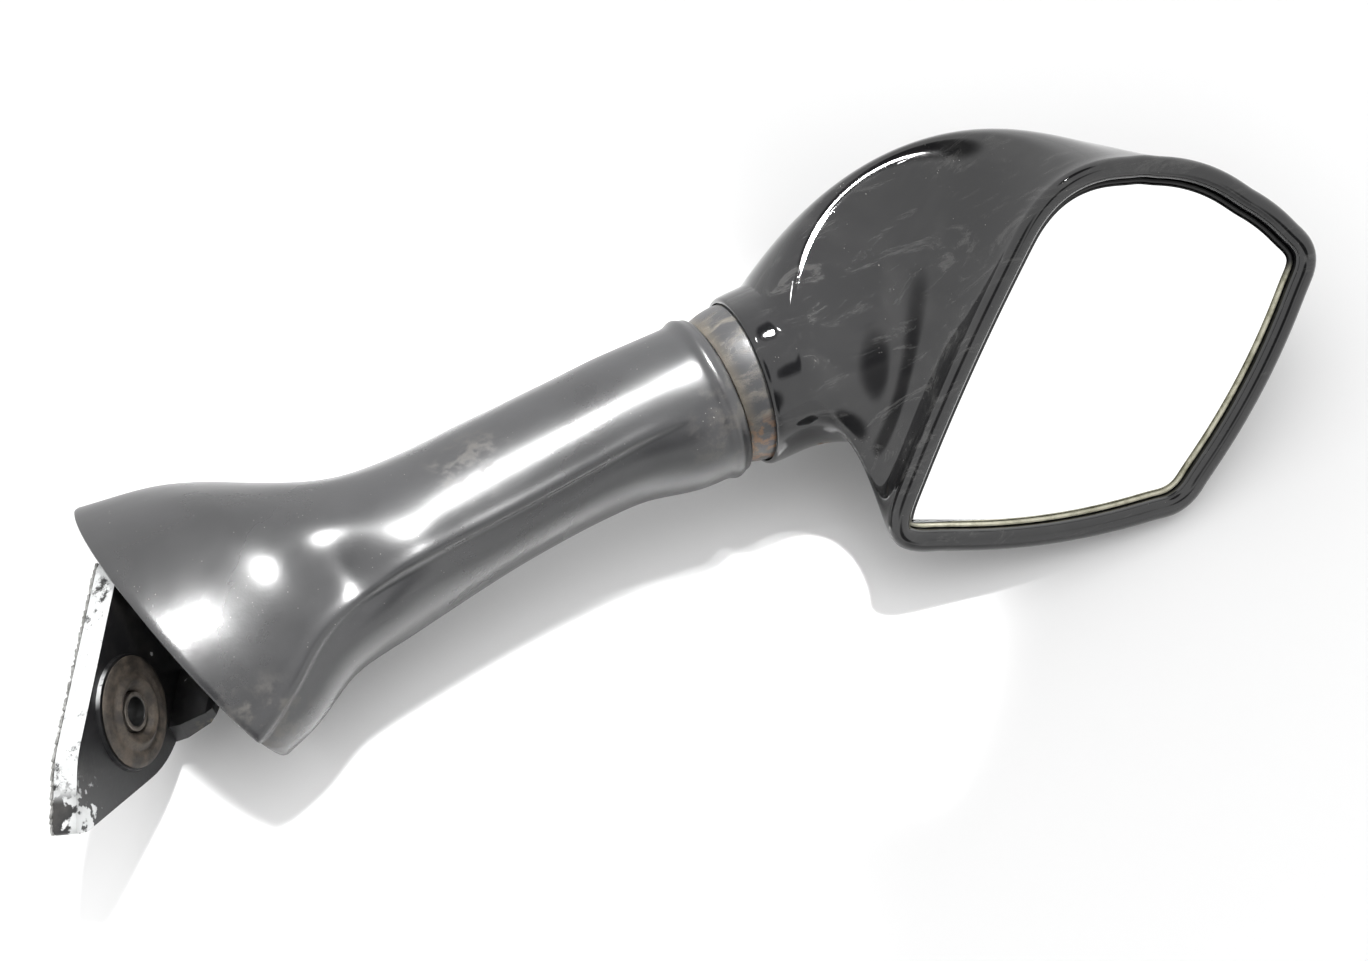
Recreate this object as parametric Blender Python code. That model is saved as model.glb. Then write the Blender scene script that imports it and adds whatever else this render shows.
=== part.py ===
"""Right-hand fairing mirror of a motorcycle: cast foot, rubber-covered folding stay, gloss black head.

Metres, +Z up from the surface the mirror lies on. The origin is the centre of the foot's mounting face.
+X runs along the stay from foot to head; the glass faces -Y and upwards.
"""
import math

import bmesh
import bpy
import numpy as np
from mathutils import Matrix, Vector

GAP = 0.0003

# Foot: a leaf-shaped plate that leans on its long edge.
FOOT_HEADING = math.radians(-31.7)
FOOT_LEAN = math.radians(20.2)
GASKET_THICK = 0.0010
FOOT_TOP = 0.0085
BOSS_TOP = FOOT_TOP + 0.0012
BOSS_RADIUS = 0.0172
GROMMET_RADIUS = 0.0156
GROMMET_NECK = 0.0092
COLLAR_OUTER = 0.0055
COLLAR_INNER = 0.0041

# Fold joint: a vertical bolt through the foot's two ears and the stay's knuckle.
FOLD_X, FOLD_Y = 0.0399, 0.0200
EAR_RADIUS = 0.0095
BOLT_RADIUS = 0.0040
KNUCKLE_HALF = 0.0065
EAR_THICK = 0.0045

# Stay, boot and the ball at its end.
MOUTH_X, MOUTH_Y = 0.0285, 0.0137
MOUTH_HEADING = math.radians(11.3)
BOOT_WALL = 0.0026
BOOT_END = 0.1982
BALL = Vector((0.2085, 0.0094, 0.0063))
BALL_RADIUS = 0.0080
COLLAR_SPHERE = 0.0243
LIP_X = 0.2066
NECK_RADIUS = 0.0262

# Head: rim plane, its outline's corners (x, up the slope, corner radius) and shell.
RIM_CENTRE = Vector((0.3017, -0.0362, 0.0159))
RIM_LEAN = math.radians(44.0)
RIM_CORNERS = (
    (-0.0880, -0.0290, 0.014),
    (0.0150, -0.0610, 0.020),
    (0.0860, -0.0020, 0.015),
    (0.0560, 0.0400, 0.060),
    (0.0060, 0.0600, 0.042),
)
SIDE_BOWS = (0.040, 0.040, 0.040, 0.040, 0.014)
RIM_WIDTH = 0.0066
SHELL_WALL = 0.0024
GLASS_DEPTH = 0.0050
GLASS_THICK = 0.0020
CARRIER_SCALE = 0.84

# Shell between the neck and the rim: how its ribs set off and arrive, and the plane that flattens its crown.
NECK_FLARE = 0.93
RIM_FLARE = -0.95
LIP_SHIFT, LIP_TILT = 0.0008, 0.085
CROWN_NORMAL = Vector((-0.15, -0.31, 0.94)).normalized()
CROWN_LEVEL = -0.0110
CROWN_SOFT = 0.0035

# How finely curved shapes are divided, and where the first clamp screw stands.
SEGMENTS = 36
HEAD_POINTS = 48
RIB_STEPS = 9
SCREW_START = math.radians(94.0)


def clear_scene():
    for item in list(bpy.data.objects):
        bpy.data.objects.remove(item, do_unlink=True)


def material(name, colour, roughness, metallic=0.0):
    made = bpy.data.materials.new(name)
    made.use_nodes = True
    shader = made.node_tree.nodes["Principled BSDF"]
    shader.inputs["Base Color"].default_value = (*colour, 1.0)
    shader.inputs["Roughness"].default_value = roughness
    shader.inputs["Metallic"].default_value = metallic
    return made


def add_object(name, bm, finish, parent=None, smooth=40.0):
    bmesh.ops.recalc_face_normals(bm, faces=bm.faces)
    mesh = bpy.data.meshes.new(name)
    bm.to_mesh(mesh)
    bm.free()
    mesh.materials.append(finish)
    mesh.shade_smooth()
    mesh.set_sharp_from_angle(angle=math.radians(smooth))
    made = bpy.data.objects.new(name, mesh)
    bpy.context.scene.collection.objects.link(made)
    made.parent = parent
    return made


def add_empty(name, location, rotation=None, parent=None):
    made = bpy.data.objects.new(name, None)
    bpy.context.scene.collection.objects.link(made)
    made.location = location
    if rotation is not None:
        made.rotation_euler = rotation.to_euler()
    made.parent = parent
    return made


def ring_of_loops(bm, loops, closed=True):
    """Faces between successive vertex loops; closed joins the last loop to the first, as on a tube wall."""
    rows = [[bm.verts.new(point) for point in loop] for loop in loops]
    pairs = list(zip(rows, rows[1:]))
    if closed:
        pairs.append((rows[-1], rows[0]))
    for row, following in pairs:
        count = len(row)
        for i in range(count):
            j = (i + 1) % count
            bm.faces.new((row[i], row[j], following[j], following[i]))
    return rows


def lathe(name, profile, finish, parent=None, segments=SEGMENTS, axis="X"):
    """Turns a closed profile of (along, radius) about an axis; every radius is above zero."""
    bm = bmesh.new()
    loops = []
    for along, radius in profile:
        loop = []
        for i in range(segments):
            turn = 2 * math.pi * i / segments
            across = radius * math.cos(turn), radius * math.sin(turn)
            loop.append((along, *across) if axis == "X" else (*across, along))
        loops.append(loop)
    ring_of_loops(bm, loops)
    return add_object(name, bm, finish, parent)


def solid_lathe(name, profile, finish, parent=None, segments=SEGMENTS, axis="X"):
    """Turns an open profile of (along, radius) about an axis and caps both ends."""
    bm = bmesh.new()
    loops = []
    for along, radius in profile:
        loop = []
        for i in range(segments):
            turn = 2 * math.pi * i / segments
            across = radius * math.cos(turn), radius * math.sin(turn)
            loop.append((along, *across) if axis == "X" else (*across, along))
        loops.append(loop)
    rows = ring_of_loops(bm, loops, closed=False)
    bm.faces.new(rows[0])
    bm.faces.new(rows[-1])
    return add_object(name, bm, finish, parent)


def prism(name, outline, low, high, finish, parent=None, smooth=40.0):
    bm = bmesh.new()
    loops = [[(x, y, z) for x, y in outline] for z in (low, high)]
    rows = ring_of_loops(bm, loops, closed=False)
    bm.faces.new(rows[0])
    bm.faces.new(rows[-1])
    return add_object(name, bm, finish, parent, smooth)


def cut(target, tool, operation="DIFFERENCE"):
    modifier = target.modifiers.new(f"{operation.lower()} {tool.name}", "BOOLEAN")
    modifier.operation = operation
    modifier.object = tool
    modifier.solver = "EXACT"
    tool.hide_render = True
    tool.display_type = "WIRE"


def sphere_arc(radius, start, end, steps):
    """Points (along, radius) on a circle about the ball's centre, from one axial place to another."""
    places = [start + (end - start) * i / steps for i in range(steps + 1)]
    return [(x, math.sqrt(radius * radius - x * x)) for x in places]


def blend(values, at):
    """Smooth curve through (position, value) stations, flat-ended Catmull-Rom."""
    places = [place for place, _ in values]
    at = min(max(at, places[0]), places[-1])
    k = max(i for i in range(len(values) - 1) if places[i] <= at)
    span = places[k + 1] - places[k]
    u = (at - places[k]) / span

    def slope(i):
        low, high = max(i - 1, 0), min(i + 1, len(values) - 1)
        return (values[high][1] - values[low][1]) / (places[high] - places[low])

    a, b = values[k][1], values[k + 1][1]
    h1, h2 = 2 * u**3 - 3 * u**2 + 1, u**3 - 2 * u**2 + u
    return h1 * a + h2 * span * slope(k) + (1 - h1) * b + (u**3 - u**2) * span * slope(k + 1)


# ---------------------------------------------------------------- foot


def arc_points(centre, radius, start, end, steps):
    turns = [start + (end - start) * i / steps for i in range(steps + 1)]
    return [(centre[0] + radius * math.cos(a), centre[1] + radius * math.sin(a)) for a in turns]


def foot_outline(inset=0.0):
    """Leaf shape in the foot's plane: y along the plate, x across it, straight upper edge at low x."""
    control = (
        (-0.0185 + inset, 0.040 - inset, 0.006),
        (-0.0185 + inset, -0.022, 0.030),
        (-0.0125 + inset, -0.0410 + inset, 0.002),
        (-0.0080, -0.0385 + inset, 0.012),
        (0.0225 - inset, -0.0060, 0.035),
        (0.0285 - inset, 0.0230, 0.018),
        (0.0170 - inset, 0.0460 - inset, 0.014),
    )
    return rounded_outline(control, 6)


def rounded_outline(control, steps):
    """Closed outline through corner arcs; control holds (x, y, radius) in order round the shape."""
    points = []
    count = len(control)
    for i in range(count):
        x, y, radius = control[i]
        here = Vector((x, y))
        before = (Vector(control[i - 1][:2]) - here).normalized()
        after = (Vector(control[(i + 1) % count][:2]) - here).normalized()
        half = before.angle(after) / 2
        reach = radius / math.tan(half)
        start, end = here + before * reach, here + after * reach
        for k in range(steps + 1):
            u = k / steps
            points.append(tuple(start * (1 - u) ** 2 + here * 2 * u * (1 - u) + end * u**2))
    return points


def make_foot(frame, iron, pad, rubber, steel):
    outline = foot_outline()
    plate = prism("foot_bracket", outline, GASKET_THICK + GAP, FOOT_TOP, iron, frame)
    gasket = prism("foot_gasket", foot_outline(0.0012), 0.0, GASKET_THICK, pad, frame)
    boss = lathe(
        "boss_add",
        [(0.004, 0.0100), (BOSS_TOP, 0.0100), (BOSS_TOP, BOSS_RADIUS - 0.001), (0.004, BOSS_RADIUS)],
        iron,
        frame,
        32,
        "Z",
    )
    bore_radius = GROMMET_NECK + GAP
    hole = solid_lathe("bolt_hole", [(-0.01, bore_radius), (0.03, bore_radius)], iron, frame, 32, "Z")
    cut(plate, boss, "UNION")
    add_ears(plate, frame, iron)
    add_lug(plate, frame, iron)
    cut(plate, hole)
    cut(gasket, hole)
    top = BOSS_TOP + GAP
    lathe(
        "foot_grommet",
        [
            (0.0016, COLLAR_OUTER + GAP),
            (top - 0.0006, COLLAR_OUTER + GAP),
            (top + 0.0016, 0.0078),
            (top + 0.0020, 0.0092),
            (top + 0.0010, 0.0104),
            (top + 0.0008, GROMMET_RADIUS - 0.001),
            (top + 0.0004, GROMMET_RADIUS),
            (top, GROMMET_RADIUS),
            (top, GROMMET_NECK),
            (0.0016, GROMMET_NECK),
        ],
        rubber,
        frame,
        32,
        "Z",
    )
    lathe(
        "foot_collar",
        [
            (0.0006, COLLAR_INNER),
            (top + 0.0006, COLLAR_INNER),
            (top + 0.0006, COLLAR_OUTER),
            (0.0006, COLLAR_OUTER),
        ],
        steel,
        frame,
        24,
        "Z",
    )


def ear_outline(reach_x, reach_y):
    """Ear seen along the fold bolt: a round end about the bolt and a root inside the plate."""
    root = Vector((reach_x, reach_y))
    side = Vector((-root.y, root.x)).normalized() * 0.0100
    heading = math.atan2(-root.y, -root.x)
    end = arc_points((0, 0), EAR_RADIUS, heading - math.pi / 2, heading + math.pi / 2, 10)
    return end + [tuple(root - side), tuple(root + side)]


def add_ears(plate, frame, iron):
    """Two level ears that reach from the plate to the fold bolt."""
    normal = frame.rotation_euler.to_matrix() @ Vector((0, 0, 1))
    bolt = Vector((FOLD_X, FOLD_Y, 0))
    for name, low in (("ear_upper", KNUCKLE_HALF + GAP), ("ear_lower", -KNUCKLE_HALF - GAP - EAR_THICK)):
        middle = low + EAR_THICK / 2
        depth = (normal.dot(bolt + Vector((0, 0, middle))) - 0.0050) / math.cos(FOOT_LEAN)
        flat = Vector((normal.x, normal.y, 0)).normalized() * -depth
        ear = prism(name, ear_outline(flat.x, flat.y), low, low + EAR_THICK, iron)
        ear.location = (FOLD_X, FOLD_Y, 0)
        cut(plate, ear, "UNION")
    drill = solid_lathe(
        "ear_drill", [(-0.02, BOLT_RADIUS + GAP), (0.02, BOLT_RADIUS + GAP)], iron, None, 24, "Z"
    )
    drill.location = (FOLD_X, FOLD_Y, 0)
    cut(plate, drill)


def add_lug(plate, frame, iron):
    """Tapered stop lug that stands on the plate's lower side and points into the boot."""
    outline = [(0.0192, 0.004), (0.0245, 0.002), (0.0265, 0.008), (0.0255, 0.022), (0.0195, 0.022)]
    middle = (0.0231, 0.0116)
    bm = bmesh.new()
    loops = []
    levels = ((0.005, 1.1, 0.0), (0.012, 0.95, 0.0), (0.019, 0.70, 0.0015), (0.0205, 0.50, 0.0018))
    for level, size, shift in levels:
        loop = []
        for x, y in outline:
            across = middle[0] + (x - middle[0]) * size
            along = middle[1] + (y - middle[1]) * size + shift
            loop.append((across, along, level))
        loops.append(loop)
    rows = ring_of_loops(bm, loops, closed=False)
    bm.faces.new(rows[0])
    bm.faces.new(rows[-1])
    lug = add_object("lug_add", bm, iron, frame)
    cut(plate, lug, "UNION")


# ---------------------------------------------------------------- fold joint


def hexagon(across):
    radius = across / math.sqrt(3)
    return [(radius * math.cos(math.pi / 3 * i), radius * math.sin(math.pi / 3 * i)) for i in range(6)]


def make_fold_joint(axis, steel, spring_steel):
    top = KNUCKLE_HALF + GAP + EAR_THICK + GAP
    low = -top
    lathe(
        "fold_washer_upper",
        [(top, BOLT_RADIUS + GAP), (top + 0.0012, BOLT_RADIUS + GAP), (top + 0.0012, 0.008), (top, 0.008)],
        steel,
        axis,
        24,
        "Z",
    )
    head = top + 0.0012 + GAP
    solid_lathe(
        "fold_bolt",
        [
            (low - 0.0104, 0.0036),
            (low - 0.0100, BOLT_RADIUS),
            (head, BOLT_RADIUS),
            (head, 0.0068),
            (head + 0.003, 0.0064),
            (head + 0.004, 0.0050),
        ],
        steel,
        axis,
        24,
        "Z",
    )
    make_spring("fold_spring", low - 0.0004, low - 0.0052, 0.0062, 0.0007, 2.0, spring_steel, axis)
    nut_top = low - 0.0056
    nut = prism("fold_nut", hexagon(0.0125), nut_top - 0.0040, nut_top, steel, axis, 20.0)
    bore_radius = BOLT_RADIUS + GAP
    bore = solid_lathe("nut_bore", [(-0.04, bore_radius), (0.04, bore_radius)], steel, axis, 24, "Z")
    cut(nut, bore)


def make_spring(name, top, bottom, radius, wire, turns, finish, parent):
    """Round-wire compression spring as one swept tube with capped ends."""
    bm = bmesh.new()
    sides, steps = 6, int(turns * 14)
    loops = []
    for i in range(steps + 1):
        u = i / steps
        turn = 2 * math.pi * turns * u
        height = top - wire + (bottom - top + 2 * wire) * u
        middle = Vector((radius * math.cos(turn), radius * math.sin(turn), height))
        out = Vector((math.cos(turn), math.sin(turn), 0))
        loop = []
        for k in range(sides):
            a = 2 * math.pi * k / sides
            loop.append(middle + out * wire * math.cos(a) + Vector((0, 0, wire * math.sin(a))))
        loops.append(loop)
    rows = ring_of_loops(bm, loops, closed=False)
    bm.faces.new(rows[0])
    bm.faces.new(rows[-1])
    add_object(name, bm, finish, parent)


# ---------------------------------------------------------------- stay and boot


def stay_middle(x):
    """Centre line of the stay and its boot: (y, z) at a place along X."""
    y = blend(
        (
            (MOUTH_X, MOUTH_Y),
            (0.058, 0.0125),
            (0.088, 0.0065),
            (0.130, 0.0084),
            (0.165, 0.0098),
            (0.183, BALL.y),
            (0.200, BALL.y),
        ),
        x,
    )
    z = blend(((MOUTH_X, 0.0), (0.088, 0.0004), (0.150, 0.0034), (0.183, BALL.z), (0.200, BALL.z)), x)
    return y, z


def boot_size(x):
    """Half width across (level) and half height of the boot at a place along X."""
    across = blend(
        (
            (MOUTH_X, 0.0495),
            (0.048, 0.0455),
            (0.070, 0.0350),
            (0.092, 0.0288),
            (0.130, 0.0262),
            (0.185, 0.0242),
            (0.200, 0.0242),
        ),
        x,
    )
    height = blend(
        (
            (MOUTH_X, 0.0272),
            (0.055, 0.0268),
            (0.090, 0.0262),
            (0.130, 0.0248),
            (0.185, 0.0242),
            (0.200, 0.0242),
        ),
        x,
    )
    return across, height


def crease_angle(x):
    """Where the moulded crease runs round the section, from +Y towards +Z."""
    degrees = blend(
        ((MOUTH_X, 162.0), (0.050, 148.0), (0.070, 134.0), (0.090, 125.0), (0.130, 127.0), (0.200, 128.0)),
        x,
    )
    return math.radians(degrees)


def soft_step(value):
    return 1 / (1 + math.exp(-4.0 * value))


def boot_factor(turn, x):
    """Radius factor: full above the crease, a ledge at it, then drawn in towards the side that rests."""
    past = math.degrees(turn - crease_angle(x))
    ledge = blend(
        ((MOUTH_X, 0.030), (0.070, 0.055), (0.110, 0.072), (0.165, 0.060), (0.184, 0.0), (0.200, 0.0)),
        x,
    )
    depth = blend(
        (
            (MOUTH_X, 0.02),
            (0.060, 0.10),
            (0.085, 0.17),
            (0.125, 0.20),
            (0.160, 0.15),
            (0.184, 0.0),
            (0.200, 0.0),
        ),
        x,
    )
    under = soft_step((268.0 - math.degrees(turn)) / 14.0)
    draw = min(1.0, max(0.0, past / 62.0))
    draw = draw * draw * (3 - 2 * draw)
    ridge = ledge * 0.30 * math.exp(-(((past + 4.0) / 4.5) ** 2))
    return 1.0 + ridge - (ledge * soft_step(past / 2.6) + depth * draw) * under


def boot_loop(x, inset=0.0):
    across, height = boot_size(x)
    y0, z0 = stay_middle(x)
    fade = blend(((MOUTH_X, 1.0), (0.062, 0.42), (0.100, 0.0), (0.201, 0.0)), x)
    lean_y = -math.tan(MOUTH_HEADING) * fade
    lean_z = -math.tan(FOOT_LEAN) / math.cos(MOUTH_HEADING) * fade
    bead = 0.0011 * math.exp(-(((x - 0.1945) / 0.0022) ** 2))
    loop = []
    for i in range(SEGMENTS):
        turn = 2 * math.pi * (i + 0.5) / SEGMENTS
        factor = boot_factor(turn, x)
        y = (across * factor - inset + bead) * math.cos(turn)
        z = (height * factor - inset + bead) * math.sin(turn)
        loop.append((x + lean_y * y + lean_z * z, y0 + y, z0 + z))
    return loop


def make_boot(parent, rubber):
    places = [MOUTH_X, 0.034, 0.043, 0.052, 0.061, 0.070, 0.079, 0.088, 0.100, 0.116, 0.134, 0.152]
    places += [0.170, 0.184, 0.1900, 0.1925, 0.1945, 0.1965, BOOT_END]
    outer = [boot_loop(x) for x in places]
    inner = [boot_loop(x, BOOT_WALL) for x in places[:14]]
    inner += [boot_loop(x, BOOT_WALL) for x in (0.1900, BOOT_END)]
    bm = bmesh.new()
    ring_of_loops(bm, outer + inner[::-1])
    made = add_object("rubber_boot", bm, rubber, None, 30.0)
    made.parent = parent
    made.matrix_parent_inverse = Matrix.Translation(parent.location).inverted()
    return made


def make_arm(parent, iron):
    """Casting from the fold knuckle to the collar, one swept section with a bored knuckle and a bored end."""
    stations = (
        (FOLD_X + 0.004, FOLD_Y - 0.001, 0.0, 0.0065, 0.0054),
        (0.055, 0.0150, 0.0, 0.0085, 0.0060),
        (0.080, 0.0080, 0.001, 0.0110, 0.0085),
        (0.120, 0.0078, 0.0015, 0.0110, 0.0090),
        (0.160, 0.0100, 0.003, 0.0115, 0.0100),
        (0.178, 0.0094, 0.0055, 0.0125, 0.0125),
        (0.1805, BALL.y, BALL.z, 0.0130, 0.0130),
        (0.1850, BALL.y, BALL.z, 0.0130, 0.0130),
        (0.1850, BALL.y, BALL.z, 0.0090, 0.0090),
        (0.1905, BALL.y, BALL.z, 0.0090, 0.0090),
    )
    bm = bmesh.new()
    loops = []
    for x, y, z, wide, high in stations:
        loop = []
        for i in range(24):
            a = 2 * math.pi * i / 24
            loop.append((x, y + wide * math.cos(a), z + high * math.sin(a)))
        loops.append(loop)
    rows = ring_of_loops(bm, loops, closed=False)
    bm.faces.new(rows[0])
    bm.faces.new(rows[-1])
    arm = add_object("stay_arm", bm, iron)
    disc = [(-KNUCKLE_HALF, EAR_RADIUS), (KNUCKLE_HALF, EAR_RADIUS)]
    knuckle = solid_lathe("knuckle_add", disc, iron, None, 32, "Z")
    knuckle.location = (FOLD_X, FOLD_Y, 0)
    cut(arm, knuckle, "UNION")
    bore_radius = BOLT_RADIUS + GAP
    drill = solid_lathe("knuckle_drill", [(-0.02, bore_radius), (0.02, bore_radius)], iron, None, 24, "Z")
    drill.location = (FOLD_X, FOLD_Y, 0)
    cut(arm, drill)
    bore = solid_lathe("stud_bore", [(0.170, 0.0044), (0.220, 0.0044)], iron, None, 24)
    bore.location = (0, BALL.y, BALL.z)
    cut(arm, bore)
    arm.parent = parent
    arm.matrix_parent_inverse = Matrix.Translation(parent.location).inverted()


def make_ball_end(centre, satin, steel):
    """Collar and ball stud, turned about the stay's axis; along is measured from the ball's centre."""
    arc = sphere_arc(COLLAR_SPHERE, -0.0098, 0.0045, 6)
    inner = sphere_arc(COLLAR_SPHERE - 0.0022, 0.0045, -0.0085, 5)
    lathe(
        "collar_ring",
        [(-0.0230, 0.0094), (-0.0230, 0.0198), (-0.0098, 0.0198)]
        + arc
        + inner
        + [(-0.0098, 0.0178), (-0.0205, 0.0178), (-0.0205, 0.0094)],
        satin,
        centre,
    )
    ball = [(-0.0076 + 0.0152 * i / 8) for i in range(9)]
    solid_lathe(
        "ball_stud",
        [
            (-0.0350, 0.0036),
            (-0.0346, 0.0040),
            (-0.0177, 0.0040),
            (-0.0177, 0.0080),
            (-0.0150, 0.0080),
            (-0.0150, 0.0040),
            (-0.0080, 0.0036),
        ]
        + [(x, math.sqrt(BALL_RADIUS**2 - x * x)) for x in ball],
        steel,
        centre,
        32,
    )


# ---------------------------------------------------------------- ball joint in the head


def make_socket(centre, plastic, steel, alloy):
    liner_out, cup_in = 0.0100, 0.0103
    lathe(
        "pivot_ring",
        sphere_arc(liner_out, -0.0050, 0.0050, 6) + sphere_arc(BALL_RADIUS + GAP, 0.0050, -0.0050, 6),
        plastic,
        centre,
        32,
    )
    cup = lathe(
        "socket_cup",
        sphere_arc(cup_in, 0.0010, 0.0070, 5)
        + [(0.0105, 0.0075), (0.0105, 0.0200), (0.0075, 0.0200), (0.0075, 0.0138), (0.0010, 0.0130)],
        alloy,
        centre,
    )
    plate = lathe(
        "clamp_plate",
        sphere_arc(cup_in, -0.0052, 0.0004, 5)
        + [(0.0004, 0.0195), (-0.0022, 0.0195), (-0.0022, 0.0138), (-0.0052, 0.0125)],
        steel,
        centre,
    )
    ring = lathe(
        "mount_ring",
        [(0.0108, 0.0120), (0.0108, 0.0222), (0.0136, 0.0222), (0.0136, 0.0120)],
        plastic,
        centre,
    )
    for i in range(3):
        turn = SCREW_START + 2 * math.pi * i / 3
        place = (0, 0.0166 * math.cos(turn), 0.0166 * math.sin(turn))
        hole = solid_lathe(f"screw_hole_{i + 1}", [(-0.01, 0.0019), (0.02, 0.0019)], steel, centre, 14)
        hole.location = place
        for piece in (cup, plate, ring):
            cut(piece, hole)
        screw = solid_lathe(
            f"clamp_screw_{i + 1}",
            [
                (-0.0051, 0.0024),
                (-0.0047, 0.0030),
                (-0.0031, 0.0030),
                (-0.0031, 0.0016),
                (0.0158, 0.0016),
                (0.0162, 0.0012),
            ],
            steel,
            centre,
            12,
        )
        screw.location = place


# ---------------------------------------------------------------- head


def rim_axes():
    up = Vector((0, math.cos(RIM_LEAN), math.sin(RIM_LEAN)))
    out = Vector((0, -math.sin(RIM_LEAN), math.cos(RIM_LEAN)))
    return up, out


def rim_outline(count):
    """Closed outline in the rim plane: corner arcs joined by sides that bow outwards."""
    dense = []
    corners = len(RIM_CORNERS)
    arcs = []
    for i in range(corners):
        x, y, radius = RIM_CORNERS[i]
        here = np.array((x, y))
        before = np.array(RIM_CORNERS[i - 1][:2]) - here
        after = np.array(RIM_CORNERS[(i + 1) % corners][:2]) - here
        before /= np.linalg.norm(before)
        after /= np.linalg.norm(after)
        half = math.acos(float(before @ after)) / 2
        reach = radius / math.tan(half)
        arcs.append((here + before * reach, here, here + after * reach))
    for i in range(corners):
        start, here, end = arcs[i]
        following = arcs[(i + 1) % corners][0]
        for k in range(24):
            u = k / 24
            dense.append(start * (1 - u) ** 2 + here * 2 * u * (1 - u) + end * u * u)
        side = following - end
        across = np.array((side[1], -side[0])) / np.linalg.norm(side)
        for k in range(24):
            u = k / 24
            dense.append(end + side * u + across * SIDE_BOWS[i] * np.linalg.norm(side) * 4 * u * (1 - u))
    dense = np.array(dense)
    steps = np.linalg.norm(np.roll(dense, -1, 0) - dense, axis=1)
    travelled = np.concatenate(([0], np.cumsum(steps)))
    at = np.linspace(0, travelled[-1], count, endpoint=False)
    closed = np.vstack((dense, dense[:1]))
    return np.stack([np.interp(at, travelled, closed[:, k]) for k in (0, 1)], axis=1)


def inset_outline(points, distance):
    ahead, behind = np.roll(points, -1, 0), np.roll(points, 1, 0)
    along = ahead - behind
    along /= np.linalg.norm(along, axis=1)[:, None]
    inward = np.stack((-along[:, 1], along[:, 0]), axis=1)
    return points + inward * distance


def on_rim(points, depth):
    up, out = rim_axes()
    return [RIM_CENTRE + Vector((x, 0, 0)) + up * y + out * depth for x, y in points]



def shell_ribs(inset=0.0):
    """Loops from the neck's lip to the rim; each rib is one Hermite curve."""
    up, out = rim_axes()
    outline = rim_outline(HEAD_POINTS)
    rim = on_rim(inset_outline(outline, inset), -0.0035)
    centre2d = outline.mean(axis=0)
    loops = []
    neck_x = LIP_X + 0.010
    radius = NECK_RADIUS - inset
    for step in range(RIB_STEPS + 1):
        u = step / RIB_STEPS
        loop = []
        for i in range(HEAD_POINTS):
            turn = neck_turn(i)
            ring = Vector(neck_point(neck_x, radius, turn))
            end = rim[i]
            reach = (end - ring).length
            flat = Vector((*(outline[i] - centre2d), 0)).normalized()
            outward = Vector((flat.x, 0, 0)) + up * flat.y
            back = rim_flow(outward, out)
            t0 = (Vector((1, 0, 0)) + up * NECK_FLARE * max(0.0, outward.dot(up))) * reach * 1.2
            t1 = back * reach * 1.3
            h1, h2 = 2 * u**3 - 3 * u**2 + 1, u**3 - 2 * u**2 + u
            point = ring * h1 + t0 * h2 + end * (1 - h1) + t1 * (u**3 - u**2)
            loop.append(flattened(point, u, inset))
        loops.append(loop)
    return loops


def flattened(point, along, inset):
    """Presses the crown of the shell towards a slanting plane, with a soft turn at its edges."""
    over = (point.dot(CROWN_NORMAL) - CROWN_LEVEL + inset) / CROWN_SOFT
    press = CROWN_SOFT * math.log1p(math.exp(over))
    return point - CROWN_NORMAL * press * 16.0 * (along * (1.0 - along)) ** 2


def lip_shift(turn):
    """The lip's plane leans: it stands further along X on the upper back side."""
    return LIP_SHIFT + LIP_TILT * NECK_RADIUS * math.cos(turn - math.radians(30.0))


def neck_point(x, radius, turn):
    return x + lip_shift(turn), BALL.y + radius * math.cos(turn), BALL.z + radius * math.sin(turn)


def neck_turn(i):
    """Angle round the neck for outline point i, from +Y towards +Z."""
    return math.radians(-205.0) + 2 * math.pi * i / HEAD_POINTS


def rim_flow(outward, out):
    """Direction in which the shell reaches the rim: from a bulge above the rim at the top, flared below."""
    low = max(0.0, -outward.z)
    high = max(0.0, outward.z) * min(1.0, max(0.0, 1.25 - 1.6 * outward.x))
    flare = 0.15 + 0.75 * low + RIM_FLARE * high
    return (out + outward * flare).normalized()


def rim_bead():
    """(inset, depth) round the rolled rim, from its outer foot over the front to the inner wall."""
    half = RIM_WIDTH / 2
    points = []
    for i in range(7):
        a = math.pi * i / 6
        points.append((half - half * math.cos(a), -0.0030 + 0.0030 * math.sin(a)))
    return points + [(RIM_WIDTH, -0.0075)]


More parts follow.
